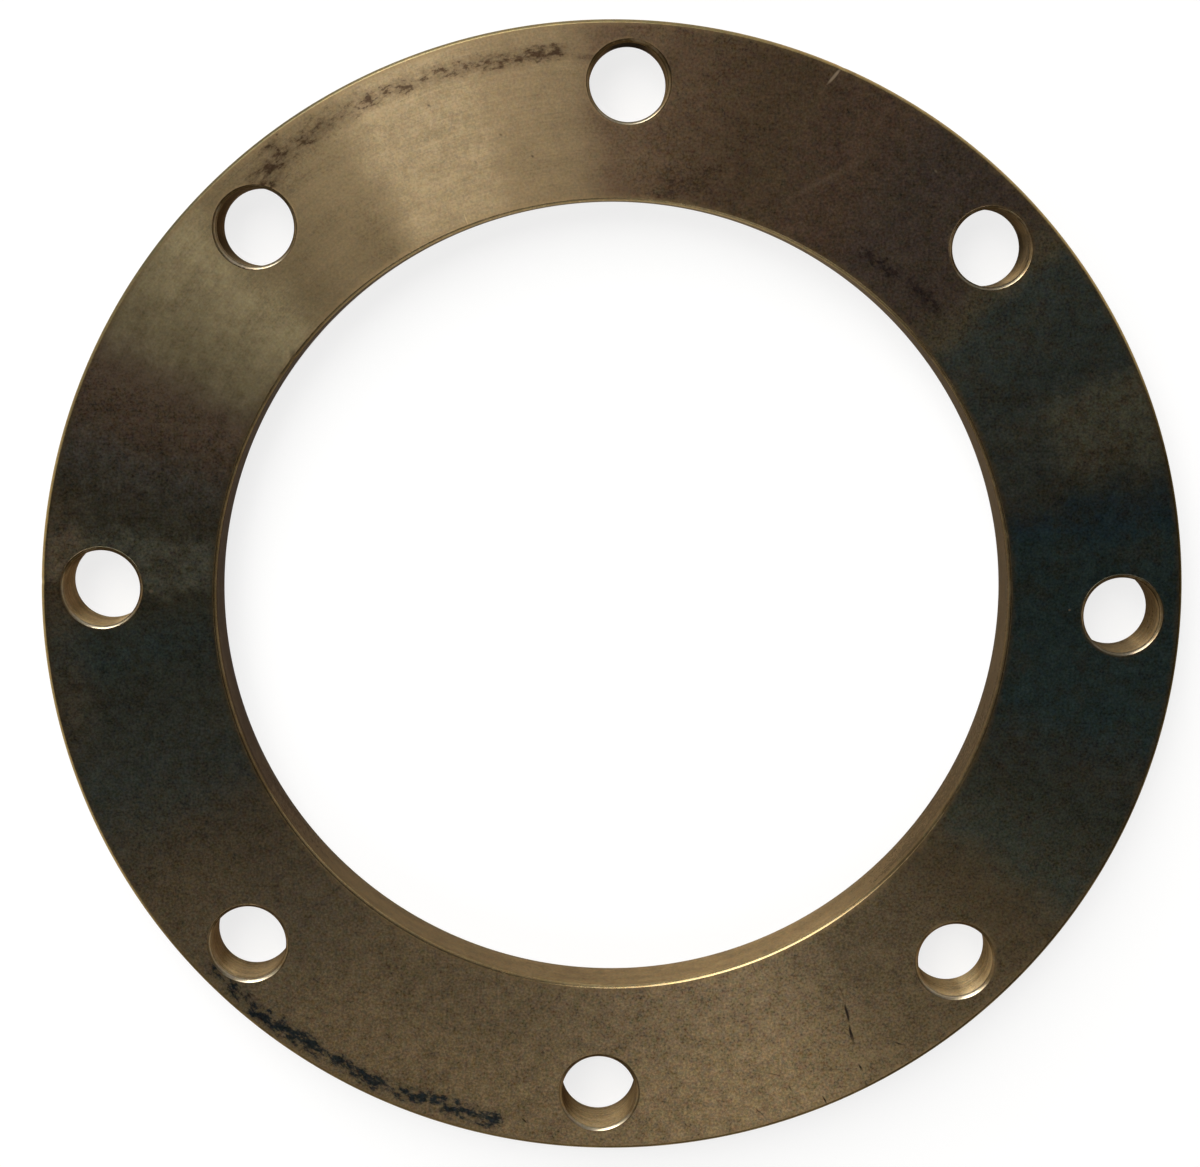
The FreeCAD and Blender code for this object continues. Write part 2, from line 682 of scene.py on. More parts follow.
class Graph:
    """Writes shader nodes into one node tree."""

    def __init__(self, tree: bpy.types.NodeTree) -> None:
        """Keep the tree that the nodes go into."""
        self.tree = tree

    def put(self, socket: Socket, value: Value) -> None:
        """Link a socket to another one, or set it to a plain value.

        Args:
            socket: The input to fill.
            value: An output socket, a number, a colour or a vector.
        """
        if isinstance(value, bpy.types.NodeSocket):
            self.tree.links.new(value, socket)
        elif isinstance(value, tuple) and socket.type == "RGBA":
            socket.default_value = (*value, 1.0)
        else:
            socket.default_value = value

    def node(self, kind: str, inputs: Mapping[str, Value] | None = None, **settings: Any) -> bpy.types.Node:
        """Add a node.

        Args:
            kind: Its type, without the leading ShaderNode.
            inputs: Values or sockets for its named inputs.
            settings: Its own settings.

        Returns:
            The new node.
        """
        node = self.tree.nodes.new("ShaderNode" + kind)
        for name, value in settings.items():
            setattr(node, name, value)
        for name, value in (inputs or {}).items():
            self.put(node.inputs[name], value)
        return node

    def math(self, operation: str, *values: Value, clamp: bool = False) -> Socket:
        """Work out one number.

        Args:
            operation: Name of the Math node's operation.
            values: Its inputs in order.
            clamp: Whether the result is kept between 0 and 1.

        Returns:
            The result.
        """
        node = self.node("Math", operation=operation, use_clamp=clamp)
        for socket, value in zip(node.inputs, values):
            self.put(socket, value)
        return node.outputs[0]

    def plus(self, first: Value, second: Value) -> Socket:
        """Add two numbers."""
        return self.math("ADD", first, second)

    def minus(self, first: Value, second: Value) -> Socket:
        """Take the second number from the first."""
        return self.math("SUBTRACT", first, second)

    def times(self, first: Value, second: Value) -> Socket:
        """Multiply two numbers."""
        return self.math("MULTIPLY", first, second)

    def swing(self, noise: Socket, reach: Value) -> Socket:
        """Centre a noise on 0 and scale it."""
        return self.times(self.minus(noise, MEAN_NOISE), reach)

    def vector(self, operation: str, *values: Value) -> bpy.types.Node:
        """Work on vectors.

        Args:
            operation: Name of the Vector Math node's operation.
            values: Its inputs in order.

        Returns:
            The node, with outputs Vector and Value.
        """
        node = self.node("VectorMath", operation=operation)
        for socket, value in zip(node.inputs, values):
            self.put(socket, value)
        return node

    def combine(self, x: Value, y: Value, z: Value) -> Socket:
        """Put three numbers together as a vector."""
        return self.node("CombineXYZ", {"X": x, "Y": y, "Z": z}).outputs[0]

    def ramp(self, value: Value, start: Value, end: Value, low: Value = 0.0, high: Value = 1.0) -> Socket:
        """Turn low smoothly into high while a value goes from start to end."""
        ends = {"Value": value, "From Min": start, "From Max": end, "To Min": low, "To Max": high}
        return self.node("MapRange", ends, interpolation_type="SMOOTHSTEP").outputs[0]

    def bumps(self, point: Socket, scale: Value, detail: float, roughness: float) -> Outputs:
        """Draw smooth noise.

        Args:
            point: Where it is read.
            scale: Bumps per unit of length.
            detail: Number of finer layers.
            roughness: Weight of the finer layers.

        Returns:
            One noise as Fac and three unlike ones as Color, each about 0.5 on average.
        """
        inputs = {"Vector": point, "Scale": scale, "Detail": detail, "Roughness": roughness}
        return self.node("TexNoise", inputs, noise_dimensions="3D").outputs

    def noise(self, point: Socket, scale: Value, detail: float, roughness: float) -> Socket:
        """Read smooth noise, see bumps."""
        return self.bumps(point, scale, detail, roughness)["Fac"]

    def noises(self, point: Socket, scale: Value, detail: float, roughness: float) -> Sequence[Socket]:
        """Read three unlike noises at once, see bumps."""
        colour = self.bumps(point, scale, detail, roughness)["Color"]
        return self.node("SeparateColor", {"Color": colour}).outputs

    def mix(self, share: Value, first: Value, second: Value, blend: str = "MIX") -> Socket:
        """Mix two colours.

        Args:
            share: How much of the second.
            first: The first colour.
            second: The second colour.
            blend: Name of the way they mix.

        Returns:
            The mixed colour.
        """
        node = self.node("Mix", data_type="RGBA", blend_type=blend)
        self.put(node.inputs[0], share)
        self.put(node.inputs[6], first)
        self.put(node.inputs[7], second)
        return node.outputs[2]

    def effect(self, group: bpy.types.NodeTree, **inputs: Value) -> bpy.types.Node:
        """Place one of the shared effects.

        Args:
            group: The effect's node group.
            inputs: Values or sockets for its inputs, with spaces written as underscores.

        Returns:
            The group node.
        """
        node = self.tree.nodes.new("ShaderNodeGroup")
        node.node_tree = group
        for name, value in inputs.items():
            self.put(node.inputs[name.replace("_", " ")], value)
        return node


class Effects:
    """The surface effects that the finishes share, each one a shader node group.

    Lengths inside them are in millimetres and angles in degrees.
    """

    FLOAT = "NodeSocketFloat"
    VECTOR = "NodeSocketVector"

    def __init__(self, ring: FlangeRing) -> None:
        """Build every effect for one ring.

        Args:
            ring: The ring whose sizes the effects go by.
        """
        self.ring = ring
        self.ring_place = self.build_ring_place()
        self.hole_place = self.build_hole_place()
        self.tool_marks = self.build_tool_marks()
        self.grain = self.build_grain()
        self.sector = self.build_sector()
        self.spot = self.build_spot()
        self.blotch = self.build_blotch()
        self.smudge = self.build_smudge()
        self.wobble = self.build_wobble()
        self.worn_highlit_edge = self.build_worn_highlit_edge()

    def start(
        self, name: str, inputs: Mapping[str, Value | None], outputs: Sequence[str]
    ) -> tuple[Graph, Outputs, Mapping[str, Socket]]:
        """Open a new effect.

        Args:
            name: Name of the effect.
            inputs: Its inputs with their usual values, None for a point.
            outputs: Names of its outputs, which are all numbers except Point.

        Returns:
            The graph, the outputs of its input node and the inputs of its output node.
        """
        tree = bpy.data.node_groups.new(name, "ShaderNodeTree")
        for label, value in inputs.items():
            kind = self.VECTOR if value is None or isinstance(value, tuple) else self.FLOAT
            socket = tree.interface.new_socket(label, in_out="INPUT", socket_type=kind)
            if value is not None:
                socket.default_value = value
        for label in outputs:
            kind = self.VECTOR if label == "Point" else self.FLOAT
            tree.interface.new_socket(label, in_out="OUTPUT", socket_type=kind)
        entry = tree.nodes.new("NodeGroupInput")
        leave = tree.nodes.new("NodeGroupOutput")
        return Graph(tree), entry.outputs, leave.inputs

    def build_ring_place(self) -> bpy.types.NodeTree:
        """Say where on the ring a point lies, from the object's own coordinates.

        Returns:
            The effect, which puts out Point, Radius, Bearing and Height.
        """
        graph, _, leave = self.start("ring_place", {}, ["Point", "Radius", "Bearing", "Height"])
        point = graph.vector("SCALE", graph.node("TexCoord").outputs["Object"])
        point.inputs["Scale"].default_value = 1 / MM
        parts = graph.node("SeparateXYZ", {"Vector": point.outputs[0]}).outputs
        flat = graph.combine(parts[0], parts[1], 0.0)
        turn = graph.math("DEGREES", graph.math("ARCTAN2", parts[1], parts[0]))
        graph.put(leave["Point"], point.outputs[0])
        graph.put(leave["Radius"], graph.vector("LENGTH", flat).outputs["Value"])
        graph.put(leave["Bearing"], turn)
        graph.put(leave["Height"], parts[2])
        return graph.tree

    def build_hole_place(self) -> bpy.types.NodeTree:
        """Say where a point lies as seen from the nearest bolt hole's axis.

        Returns:
            The effect, which puts out Hole Radius, Hole Bearing, Hole Number and Wall Bearing.
        """
        inputs = {"Radius": 0.0, "Bearing": 0.0}
        outputs = ["Hole Radius", "Hole Bearing", "Hole Number", "Wall Bearing"]
        graph, entry, leave = self.start("hole_place", inputs, outputs)
        pitch = math.degrees(self.ring.sector)
        number = graph.math("ROUND", graph.math("DIVIDE", entry["Bearing"], pitch))
        offset = graph.minus(entry["Bearing"], graph.times(number, pitch))
        turn = graph.math("RADIANS", offset)
        along = graph.times(entry["Radius"], graph.math("COSINE", turn))
        outward = graph.minus(along, self.ring.bolt_circle_radius / MM)
        beside = graph.times(entry["Radius"], graph.math("SINE", turn))
        flat = graph.combine(outward, beside, 0.0)
        graph.put(leave["Hole Radius"], graph.vector("LENGTH", flat).outputs["Value"])
        bearing = graph.math("DEGREES", graph.math("ARCTAN2", beside, outward))
        graph.put(leave["Hole Bearing"], bearing)
        graph.put(leave["Hole Number"], number)
        graph.put(leave["Wall Bearing"], graph.plus(bearing, graph.times(number, pitch)))
        return graph.tree

    def build_tool_marks(self) -> bpy.types.NodeTree:
        """Draw fine grooves that run round an axis, each one fading in and out.

        Returns:
            The effect, which puts out Groove and the wider Band.
        """
        bands_per_groove = 0.12
        inputs = {"Across": 0.0, "Bearing": 0.0, "Radius": 75.0, "Pitch": 0.2, "Length": 15.0}
        graph, entry, leave = self.start("tool_marks", inputs, ["Groove", "Band"])
        turn = graph.math("RADIANS", entry["Bearing"])
        reach = graph.math("DIVIDE", entry["Radius"], entry["Length"])
        across = graph.math("DIVIDE", entry["Across"], entry["Pitch"])
        x = graph.times(graph.math("COSINE", turn), reach)
        y = graph.times(graph.math("SINE", turn), reach)
        groove = graph.noise(graph.combine(across, x, y), 1.0, detail=2.0, roughness=0.6)
        graph.put(leave["Groove"], groove)
        wide = graph.times(across, bands_per_groove)
        band = graph.noise(graph.combine(wide, x, y), 0.7, detail=1.0, roughness=0.5)
        graph.put(leave["Band"], band)
        return graph.tree

    def build_grain(self) -> bpy.types.NodeTree:
        """Draw the fine light and dark specks of ground and oiled steel, and how its hue drifts.

        Returns:
            The effect, which puts out Speck, Cloud, Warm and Green.
        """
        elsewhere = (31.0, 17.0, 5.0)
        hues_per_speck, clouds_per_speck = 0.55, 0.2
        outputs = ["Speck", "Cloud", "Warm", "Green"]
        graph, entry, leave = self.start("grain", {"Point": None, "Size": 0.3}, outputs)
        scale = graph.math("DIVIDE", 1.0, entry["Size"])
        apart = graph.vector("ADD", entry["Point"], elsewhere).outputs[0]
        hues = graph.noises(apart, graph.times(scale, hues_per_speck), detail=1.0, roughness=0.7)
        graph.put(leave["Speck"], graph.noise(entry["Point"], scale, detail=1.0, roughness=0.7))
        cloud = graph.noise(apart, graph.times(scale, clouds_per_speck), detail=3.0, roughness=0.75)
        graph.put(leave["Cloud"], cloud)
        graph.put(leave["Warm"], hues[0])
        graph.put(leave["Green"], hues[1])
        return graph.tree

    def build_sector(self) -> bpy.types.NodeTree:
        """Mask a sector of the ring whose two sides fade out.

        Returns:
            The effect, which puts out Mask.
        """
        sides = {"Start": 0.0, "Start Fade": 5.0, "End": 90.0, "End Fade": 5.0}
        graph, entry, leave = self.start("sector", {"Bearing": 0.0, "Wander": 0.0, **sides}, ["Mask"])
        wander = graph.plus(entry["Bearing"], entry["Wander"])
        span = graph.minus(entry["End"], entry["Start"])
        middle = graph.times(graph.plus(entry["End"], entry["Start"]), 0.5)
        offset = graph.math("WRAP", graph.minus(wander, middle), 180.0, -180.0)
        half = graph.times(span, 0.5)
        from_start = graph.plus(offset, half)
        to_end = graph.minus(half, offset)
        before = graph.times(entry["Start Fade"], -1.0)
        past = graph.times(entry["End Fade"], -1.0)
        rise = graph.ramp(from_start, before, entry["Start Fade"])
        fall = graph.ramp(to_end, past, entry["End Fade"])
        graph.put(leave["Mask"], graph.times(rise, fall))
        return graph.tree

    def build_spot(self) -> bpy.types.NodeTree:
        """Mask a long thin spot on the face, strongest in its middle.

        Returns:
            The effect, which puts out Mask.
        """
        place = {"Centre": (0.0, 0.0, 0.0), "Turn": (0.0, 0.0, 0.0), "Reach": (1.0, 1.0, 1.0)}
        graph, entry, leave = self.start("spot", {"Point": None, **place, "Strength": 1.0}, ["Mask"])
        frame = {"Vector": entry["Point"], "Location": entry["Centre"]}
        frame.update({"Rotation": entry["Turn"], "Scale": entry["Reach"]})
        local = graph.node("Mapping", frame, vector_type="TEXTURE").outputs[0]
        away = graph.vector("LENGTH", local).outputs["Value"]
        close = graph.math("SUBTRACT", 1.0, away, clamp=True)
        graph.put(leave["Mask"], graph.times(close, entry["Strength"]))
        return graph.tree

    def build_blotch(self) -> bpy.types.NodeTree:
        """Draw blotches that are longer along the tool marks than across them.

        Returns:
            The effect, which puts out Blotch.
        """
        # About half of the face's own radius, so that a blotch is twice as long as it is wide
        round_radius = 38.0
        graph, entry, leave = self.start("blotch", {"Radius": 0.0, "Bearing": 0.0}, ["Blotch"])
        turn = graph.math("RADIANS", entry["Bearing"])
        x = graph.times(graph.math("COSINE", turn), round_radius)
        y = graph.times(graph.math("SINE", turn), round_radius)
        place = graph.combine(entry["Radius"], x, y)
        graph.put(leave["Blotch"], graph.noise(place, 1.3, detail=3.0, roughness=0.7))
        return graph.tree

    def build_smudge(self) -> bpy.types.NodeTree:
        """Break a soft smear up into a faint halo and dark flecks.

        Returns:
            The effect, which puts out Mask.
        """
        inputs = {"Near": 0.0, "Blotch": 0.5, "Halo": 1.0}
        graph, entry, leave = self.start("smudge", inputs, ["Mask"])
        near, blotch = entry["Near"], entry["Blotch"]
        level = graph.plus(blotch, graph.times(near, 0.3))
        flecks = graph.ramp(level, start=0.6, end=0.86)
        faint = graph.ramp(near, start=0.0, end=0.9)
        halo = graph.times(faint, graph.ramp(blotch, start=0.3, end=0.6, low=0.15, high=0.5))
        halo = graph.times(halo, entry["Halo"])
        seen = graph.ramp(near, start=0.0, end=0.3)
        graph.put(leave["Mask"], graph.times(graph.math("MAXIMUM", flecks, halo), seen))
        return graph.tree

    def build_wobble(self) -> bpy.types.NodeTree:
        """Shift a point a little, so that a straight line drawn from it wavers.

        Returns:
            The effect, which puts out Point and Skip, which is lower where a line is broken.
        """
        graph, entry, leave = self.start("wobble", {"Point": None, "Bend": 0.5}, ["Point", "Skip"])
        drift = graph.node("TexNoise", {"Vector": entry["Point"], "Scale": 0.3, "Detail": 1.0})
        centred = graph.vector("SUBTRACT", drift.outputs["Color"], (MEAN_NOISE,) * 3).outputs[0]
        bend = graph.node("VectorMath", operation="SCALE")
        graph.put(bend.inputs[0], centred)
        graph.put(bend.inputs["Scale"], entry["Bend"])
        graph.put(leave["Point"], graph.vector("ADD", entry["Point"], bend.outputs[0]).outputs[0])
        skip = graph.ramp(drift.outputs["Fac"], start=0.36, end=0.5, low=0.55, high=1.0)
        graph.put(leave["Skip"], skip)
        return graph.tree

    def build_worn_highlit_edge(self) -> bpy.types.NodeTree:
        """Mask a thin strip beside an edge, uneven in width, where the face is worn and a highlight is
        painted.

        Returns:
            The effect, which puts out Mask.
        """
        inputs = {"Cloud": 0.5, "Distance": 1.0, "Width": 0.3}
        graph, entry, leave = self.start("worn_highlit_edge", inputs, ["Mask"])
        uneven = graph.ramp(entry["Cloud"], start=0.35, end=0.65, low=0.5, high=1.4)
        width = graph.times(entry["Width"], uneven)
        strip = graph.ramp(entry["Distance"], start=0.0, end=width, low=1.0, high=0.0)
        graph.put(leave["Mask"], strip)
        return graph.tree


@dataclass
class Patch:
    """The nodes that the steps of one finish share.

    Attributes:
        graph: The material's nodes.
        effects: The shared effects.
        place: Outputs of the ring_place effect.
        hole: Outputs of the hole_place effect.
        bearing: Bearing that the tinted sectors of tarnish and painted light and shade go by, in a hole the
            one from the hole's own axis.
        marks: Outputs of the tool_marks effect.
        grain: Outputs of the grain effect.
        polish: Where the tool marks show more than the specks, from 0 to 1.
    """

    graph: Graph
    effects: Effects
    place: Outputs
    hole: Outputs
    bearing: Socket
    marks: Outputs
    grain: Outputs
    polish: Value


@dataclass(frozen=True)
class SteelFinish:
    """How one machined surface of the ring looks.

    Attributes:
        name: Name of the material.
        lay: Which way its tool marks run.
        colour: Colour of the oiled steel.
        edge_tint: What its colour turns to where the eye grazes it.
        metallic: 1 for bare steel, less where it is dull with oxide.
        gloss: Specular level of what isn't bare.
        roughness: Mean roughness.
        roughness_change: How far the tool marks and specks move it.
        anisotropy: How much the tool marks stretch its shine.
        mark_pitch: Spacing of the tool marks, in millimetres.
        mark_length: Length of one tool mark, in millimetres.
        mark_depth: Depth of the tool marks, in millimetres.
        mark_shade: How much the tool marks change the colour.
        grain_size: Size of the specks, in millimetres.
        grain_depth: Depth of the specks, in millimetres.
        grain_shade: How much the specks change the colour.
        cloud_shade: How much the blotches, a few specks wide, change the colour.
        hue_shift: How far the hue drifts from speck to speck.
        tarnish_and_shading: The tinted sectors of tarnish and painted light and shade, laid one over the
            other.
        wander: How far the sides of a sector stray, in degrees.
        polished: A sector that is smoother than the rest.
        polish_streaks: How much more the tool marks change the colour there.
        polish_calm: How much the specks still change it there, as a share.
    """

    # Where the tinted sectors of tarnish and painted light and shade lie thinner, and how thick they are
    # there and elsewhere
    THIN = {"start": 0.8, "end": 1.1, "low": 0.75, "high": 1.05}
    # Shift between the tool marks of one hole and those of the next, in millimetres
    HOLE_SHIFT = 37.0
    # Least brightness of a speck, and least blue in it
    DARKEST = 0.15
    LEAST_BLUE = 0.1
    # A quarter turn, which lays the shine's length across the tool marks
    SHINE_TURN = 0.25

    name: str
    lay: Lay
    colour: Colour
    edge_tint: Colour = (0.85, 0.72, 0.55)
    metallic: float = 1.0
    gloss: float = 0.5
    roughness: float = 0.46
    roughness_change: float = 0.1
    anisotropy: float = 0.9
    mark_pitch: float = 0.22
    mark_length: float = 9.0
    mark_depth: float = 0.0008
    mark_shade: float = 0.1
    grain_size: float = 0.38
    grain_depth: float = 0.0012
    grain_shade: float = 1.65
    cloud_shade: float = 1.4
    hue_shift: float = 0.48
    tarnish_and_shading: tuple[TarnishAndShading, ...] = ()
    wander: float = 6.0
    polished: Sector | None = None
    polish_streaks: float = 4.0
    polish_calm: float = 0.42

    def build(self, effects: Effects) -> bpy.types.Material:
        """Build the material.

        Args:
            effects: The shared effects.

        Returns:
            The material.
        """
        material = bpy.data.materials.new(self.name)
        material.use_nodes = True
        graph = Graph(material.node_tree)
        shader = material.node_tree.nodes["Principled BSDF"]
        patch = self.survey(graph, effects)
        colour, rough = self.weather_and_shade(patch, self.tint(patch), self.dull(patch))
        graph.put(shader.inputs["Base Color"], colour)
        graph.put(shader.inputs["Roughness"], rough)
        graph.put(shader.inputs["Normal"], self.emboss(patch))
        graph.put(shader.inputs["Specular Tint"], self.edge_tint)
        shader.inputs["Metallic"].default_value = self.metallic
        shader.inputs["Specular IOR Level"].default_value = self.gloss
        if self.anisotropy > 0:
            shader.inputs["Anisotropic"].default_value = self.anisotropy
            shader.inputs["Anisotropic Rotation"].default_value = self.SHINE_TURN
            tangent = graph.node("Tangent", direction_type="RADIAL", axis="Z")
            graph.put(shader.inputs["Tangent"], tangent.outputs[0])
        return material

    def survey(self, graph: Graph, effects: Effects) -> Patch:
        """Find the surface's place on the ring, and lay its tool marks and specks.

        Args:
            graph: Where the nodes go.
            effects: The shared effects.

        Returns:
            The nodes that the later steps share.
        """
        place = graph.effect(effects.ring_place).outputs
        bearing, radius = place["Bearing"], place["Radius"]
        hole = graph.effect(effects.hole_place, Radius=radius, Bearing=bearing).outputs
        across, facing = place["Height"], bearing
        if self.lay is Lay.FACED:
            across, radius = radius, effects.ring.bolt_circle_radius / MM
        elif self.lay is Lay.DRILLED:
            bearing, radius, facing = hole["Hole Bearing"], hole["Hole Radius"], hole["Wall Bearing"]
            across = graph.plus(across, graph.times(hole["Hole Number"], self.HOLE_SHIFT))
        run = {"Across": across, "Bearing": bearing, "Radius": radius}
        run.update({"Pitch": self.mark_pitch, "Length": self.mark_length})
        marks = graph.effect(effects.tool_marks, **run).outputs
        grain = graph.effect(effects.grain, Point=place["Point"], Size=self.grain_size).outputs
        polish = 0.0
        if self.polished:
            polish = self.polished.mask(graph, effects, place["Bearing"], 0.0)
        return Patch(graph, effects, place, hole, facing, marks, grain, polish)

    def tint(self, patch: Patch) -> Socket:
        """Vary the steel's colour with its tool marks and specks.

        Args:
            patch: The nodes shared by the finish.

        Returns:
            The colour.
        """
        graph, marks, grain = patch.graph, patch.marks, patch.grain
        streaks = graph.minus(graph.plus(marks["Groove"], marks["Band"]), 2 * MEAN_NOISE)
        strongest = self.mark_shade * self.polish_streaks
        shade = graph.ramp(patch.polish, 0.0, 1.0, low=self.mark_shade, high=strongest)
        streaks = graph.times(streaks, shade)
        specks = graph.swing(grain["Speck"], self.grain_shade)
        clouds = graph.swing(grain["Cloud"], self.cloud_shade)
        calm = graph.ramp(patch.polish, 0.0, 1.0, low=1.0, high=self.polish_calm)
        specks = graph.times(graph.plus(specks, clouds), calm)
        level = graph.plus(graph.plus(streaks, specks), 1.0)
        level = graph.math("MAXIMUM", level, self.DARKEST)
        shift = graph.times(calm, self.hue_shift)
        warm = graph.swing(grain["Warm"], shift)
        green = graph.swing(grain["Green"], graph.times(shift, 0.5))
        red = graph.plus(level, warm)
        blue = graph.minus(level, graph.plus(warm, green))
        hue = graph.combine(red, graph.plus(level, green), graph.math("MAXIMUM", blue, self.LEAST_BLUE))
        return graph.mix(1.0, self.colour, hue, "MULTIPLY")

    def dull(self, patch: Patch) -> Socket:
        """Vary the roughness with the tool marks and specks.

        Args:
            patch: The nodes shared by the finish.

        Returns:
            The roughness.
        """
        graph = patch.graph
        uneven = graph.plus(patch.marks["Groove"], patch.grain["Cloud"])
        offset = graph.times(graph.minus(uneven, 2 * MEAN_NOISE), self.roughness_change)
        return graph.plus(offset, self.roughness)

    def emboss(self, patch: Patch) -> Socket:
        """Raise the tool marks and sink the pits.

        Args:
            patch: The nodes shared by the finish.

        Returns:
            The surface's normal.
        """
        graph = patch.graph
        specks = graph.times(patch.grain["Speck"], self.grain_depth)
        grooves = graph.times(patch.marks["Groove"], self.mark_depth)
        height = graph.plus(specks, grooves)
        return graph.node("Bump", {"Strength": 1.0, "Distance": MM, "Height": height}).outputs[0]

    def weather_and_shade(self, patch: Patch, colour: Socket, rough: Socket) -> tuple[Socket, Socket]:
        """Lay the tinted sectors of tarnish and painted light and shade over the steel, blotchy and strayed
        from their straight sides.

        Args:
            patch: The nodes shared by the finish.
            colour: The colour so far.
            rough: The roughness so far.

        Returns:
            The colour and the roughness.
        """
        if not self.tarnish_and_shading:
            return colour, rough
        graph, place = patch.graph, patch.place
        drift = graph.noises(place["Point"], 0.17, detail=3.0, roughness=0.65)
        wander = graph.swing(drift[0], self.wander)
        cover = graph.ramp(graph.plus(patch.grain["Cloud"], drift[1]), **self.THIN)
        # Each sector multiplies the colour by its tint. The tint stands for tarnish on the faces, and for
        # painted light and shade on every surface but the back.
        for sector in self.tarnish_and_shading:
            mask = graph.times(sector.mask(graph, patch.effects, patch.bearing, wander), cover)
            if sector.within:
                near = sector.within.mask(graph, patch.effects, place["Bearing"], 0.0)
                mask = graph.times(mask, near)
            if sector.spared:
                radius = graph.plus(place["Radius"], wander)
                inner, outer = sector.spared - sector.spared_fade, sector.spared + sector.spared_fade
                mask = graph.times(mask, graph.ramp(radius, inner, outer))
            colour = graph.mix(mask, colour, sector.tint, "MULTIPLY")
        return colour, rough


@dataclass(frozen=True)
class FaceFinish(SteelFinish):
    """A faced side, worn along its edges, with a thin highlight painted there too.

    Attributes:
        wear_and_highlight_width: How far the wear and its painted highlight reach from an edge, in
            millimetres, and half as far at a hole.
        wear_and_highlight_colour: Golden brown that the worn steel turns to, which also paints a thin
            highlight along the edges.
        wear_and_highlight_turn: How far it turns to that colour, from 0 to 1.
        wear_and_highlight_strength: How much of the colour the wear and highlight take, from 0 to 1.
        stains: The smears of oil and marker.
        scratches: Scratches that hold dirt.
        dirt: Colour of that dirt.
        scratch_bend: How far the scratches waver, in millimetres.
        scuffs: Scratches down to fresh metal.
        fresh: Colour of fresh metal.
        scuff_bend: How far the scuffs waver, in millimetres.
    """

    # Strength from which a mark shows fully, and how much rougher the smudges are
    FULL_MARK = 0.55
    SMUDGE_ROUGHNESS = 0.1

    wear_and_highlight_width: float = 0.8
    wear_and_highlight_colour: Colour = (0.16, 0.105, 0.05)
    wear_and_highlight_turn: float = 0.6
    wear_and_highlight_strength: float = 0.6
    stains: tuple[Stain, ...] = ()
    scratches: tuple[Mark, ...] = ()
    dirt: Colour = (0.014, 0.011, 0.009)
    scratch_bend: float = 0.9
    scuffs: tuple[Mark, ...] = ()
    fresh: Colour = (0.42, 0.32, 0.21)
    scuff_bend: float = 0.35

    def weather_and_shade(self, patch: Patch, colour: Socket, rough: Socket) -> tuple[Socket, Socket]:
        """Add the tinted sectors of tarnish and painted light and shade, the worn edges with their painted
        highlight, the smudges and the scratches.

        Args:
            patch: The nodes shared by the finish.
            colour: The colour so far.
            rough: The roughness so far.

        Returns:
            The colour and the roughness.
        """
        bare = colour
        colour, rough = super().weather_and_shade(patch, colour, rough)
        graph, effects = patch.graph, patch.effects
        flat = graph.vector("MULTIPLY", patch.place["Point"], (1.0, 1.0, 0.0)).outputs[0]
        edges = {"Cloud": patch.grain["Cloud"], "Distance": self.edge_distance(patch)}
        # Edge wear with a painted highlight: along its edges the face loses the tinted sectors and turns
        # golden brown.
        wear = graph.effect(effects.worn_highlit_edge, Width=self.wear_and_highlight_width, **edges).outputs["Mask"]
        worn = graph.mix(self.wear_and_highlight_turn, bare, self.wear_and_highlight_colour)
        colour = graph.mix(graph.times(wear, self.wear_and_highlight_strength), colour, worn)
        place = {"Radius": patch.place["Radius"], "Bearing": patch.place["Bearing"]}
        blotch = graph.effect(effects.blotch, **place).outputs["Blotch"]
        for stain in self.stains:
            near = stain.near(graph, effects, place["Radius"], place["Bearing"])
            smears = {"Near": near, "Blotch": blotch, "Halo": stain.halo}
            smudge = graph.effect(effects.smudge, **smears).outputs["Mask"]
            colour = graph.mix(smudge, colour, stain.tint, "MULTIPLY")
            rough = graph.plus(rough, graph.times(smudge, self.SMUDGE_ROUGHNESS))
        scratches = (self.scratches, self.dirt, self.scratch_bend)
        scuffs = (self.scuffs, self.fresh, self.scuff_bend)
        for marks, paint, bend in (scratches, scuffs):
            if marks:
                wobble = graph.effect(effects.wobble, Point=flat, Bend=bend).outputs
                line = graph.ramp(self.gather(patch, marks, wobble["Point"]), 0.0, self.FULL_MARK)
                colour = graph.mix(graph.times(line, wobble["Skip"]), colour, paint)
        return colour, rough

    def gather(self, patch: Patch, marks: Sequence[Mark], flat: Socket) -> Socket:
        """Put several marks together.

        Args:
            patch: The nodes shared by the finish.
            marks: The marks.
            flat: Where the surface is, in millimetres, at height 0.

        Returns:
            The strongest of their masks.
        """
        total = 0.0
        for mark in marks:
            total = patch.graph.math("MAXIMUM", total, mark.near(patch.graph, patch.effects, flat))
        return total

    def edge_distance(self, patch: Patch) -> Socket:
        """Measure how far the surface is from the nearest edge of the face, twice over at a hole.

        Args:
            patch: The nodes shared by the finish.

        Returns:
            The distance, in millimetres.
        """
        graph, ring = patch.graph, patch.effects.ring
        radius, around_hole = patch.place["Radius"], patch.hole["Hole Radius"]
        bore = graph.minus(radius, (ring.bore_radius + ring.bore_chamfer) / MM)
        rim = graph.minus((ring.rim_radius - ring.rim_chamfer) / MM, radius)
        hole = graph.minus(around_hole, (ring.hole_radius + ring.hole_chamfer) / MM)
        return graph.math("MINIMUM", graph.math("MINIMUM", bore, rim), graph.times(hole, 2.0))


